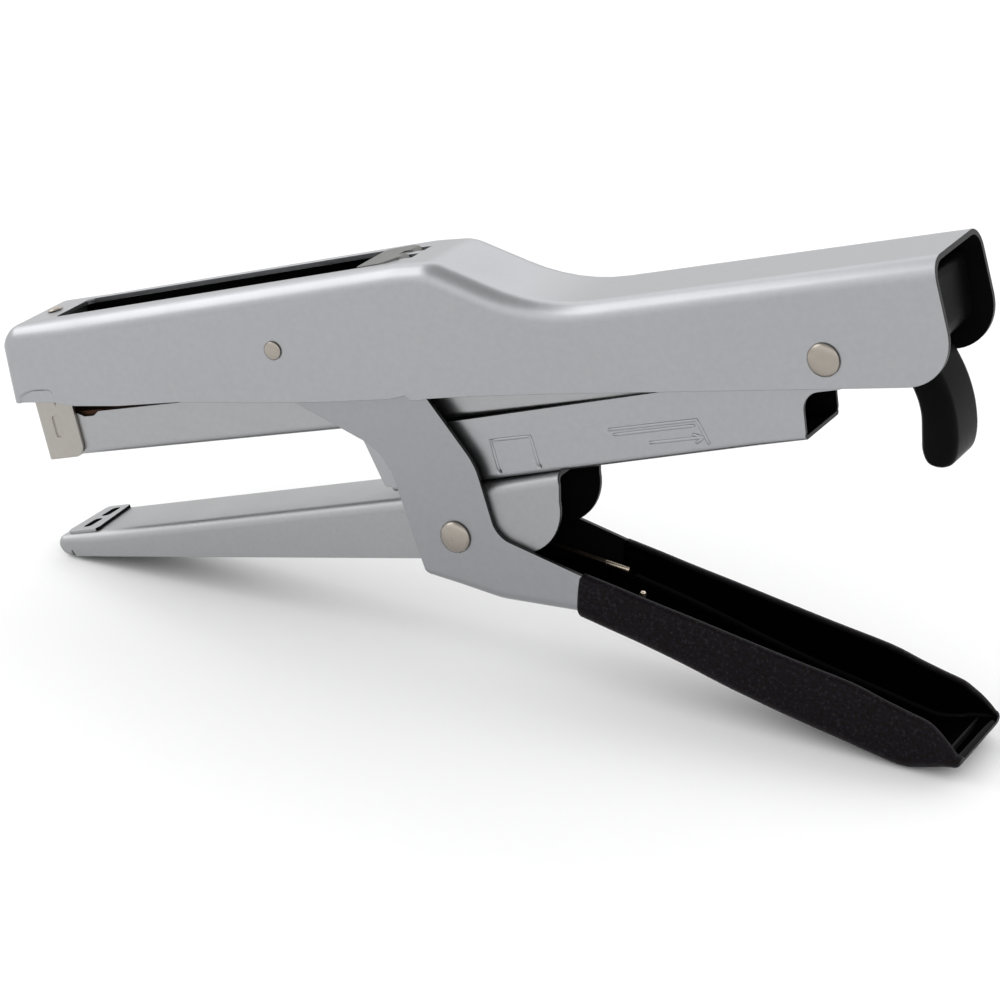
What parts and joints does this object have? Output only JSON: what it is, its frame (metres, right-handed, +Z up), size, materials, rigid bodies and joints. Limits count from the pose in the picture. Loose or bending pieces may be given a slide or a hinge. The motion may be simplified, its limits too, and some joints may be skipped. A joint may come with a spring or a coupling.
{
  "type": "plier stapler",
  "caption": "Hand-held plier stapler: sheet-steel frame over a swinging magazine, lower jaw with clinch plate, and a sprung lever with a dipped black grip.",
  "frame": {"origin": "on the standing plane, midway along and across the open stapler", "axes": "+X to the rear along the open stapler, +Y across it, +Z up from the plane it stands on"},
  "size_m": [0.1925, 0.0232, 0.0902],
  "materials": {
    "satin_steel": "satin",
    "nickel": "satin nickel plate",
    "plain_steel": "bright zinc",
    "hardened_steel": "ground",
    "spring_steel": "drawn wire",
    "staple_wire": "galvanised",
    "black_vinyl": "dipped vinyl, fine grain",
    "black_plastic": "semi-gloss"
  },
  "bodies": {
    "frame": {"frame_shell": "satin_steel", "driver_blade": "hardened_steel", "driver_rivet": "nickel", "magazine_spring": "spring_steel", "guide_pins": "nickel", "rear_rivet": "nickel", "rear_spacers": "plain_steel"},
    "magazine": {"magazine_channel": "satin_steel", "nose_piece": "nickel", "staple_rail": "plain_steel", "rail_rivets": "plain_steel", "staple_strip": "staple_wire", "rear_bush": "plain_steel"},
    "follower": {"follower_rod": "plain_steel", "pull_tab": "black_plastic", "feed_spring": "spring_steel"},
    "pusher": {"pusher": "hardened_steel"},
    "jaw": {"anvil_arm": "satin_steel", "clinch_plate": "satin_steel", "guide_channel": "satin_steel", "jaw_rivets": "plain_steel"},
    "lever": {"lever_channel": "satin_steel", "grip_sleeve": "black_vinyl", "lever_rivet": "nickel", "lever_bush": "plain_steel", "lever_spring": "spring_steel"}
  },
  "joints": [
    {"name": "magazine_swing", "type": "hinge", "parent": "frame", "child": "magazine", "pos_m": [0.06998, 0, 0.07046], "axis": [0, 1, 0], "range_deg": [0, 3.7], "deforming": ["magazine_spring"]},
    {"name": "jaw_close", "type": "hinge", "parent": "frame", "child": "jaw", "pos_m": [0.06998, 0, 0.07046], "axis": [0, 1, 0], "range_deg": [0, 8.6]},
    {"name": "lever_squeeze", "type": "hinge", "parent": "jaw", "child": "lever", "pos_m": [0.00114, 0, 0.02348], "axis": [0, -1, 0], "range_deg": [0, 24.1], "stiffness_Nm_per_rad": 1, "springref_deg": -57.3, "deforming": ["lever_spring"]},
    {"name": "follower_pull", "type": "slide", "parent": "magazine", "child": "follower", "axis": [0.9601, 0, 0.2796], "range_m": [0, 0.062]},
    {"name": "pusher_feed", "type": "slide", "parent": "follower", "child": "pusher", "axis": [0.9601, 0, 0.2796], "range_m": [0, 0.04], "stiffness_N_per_m": 30, "springref_m": -0.15, "deforming": ["feed_spring"]}
  ],
  "couplings": [
    {"joint": "jaw_close", "follows": "lever_squeeze", "ratio": 0.3568},
    {"joint": "magazine_swing", "follows": "lever_squeeze", "ratio": 0.1535}
  ]
}
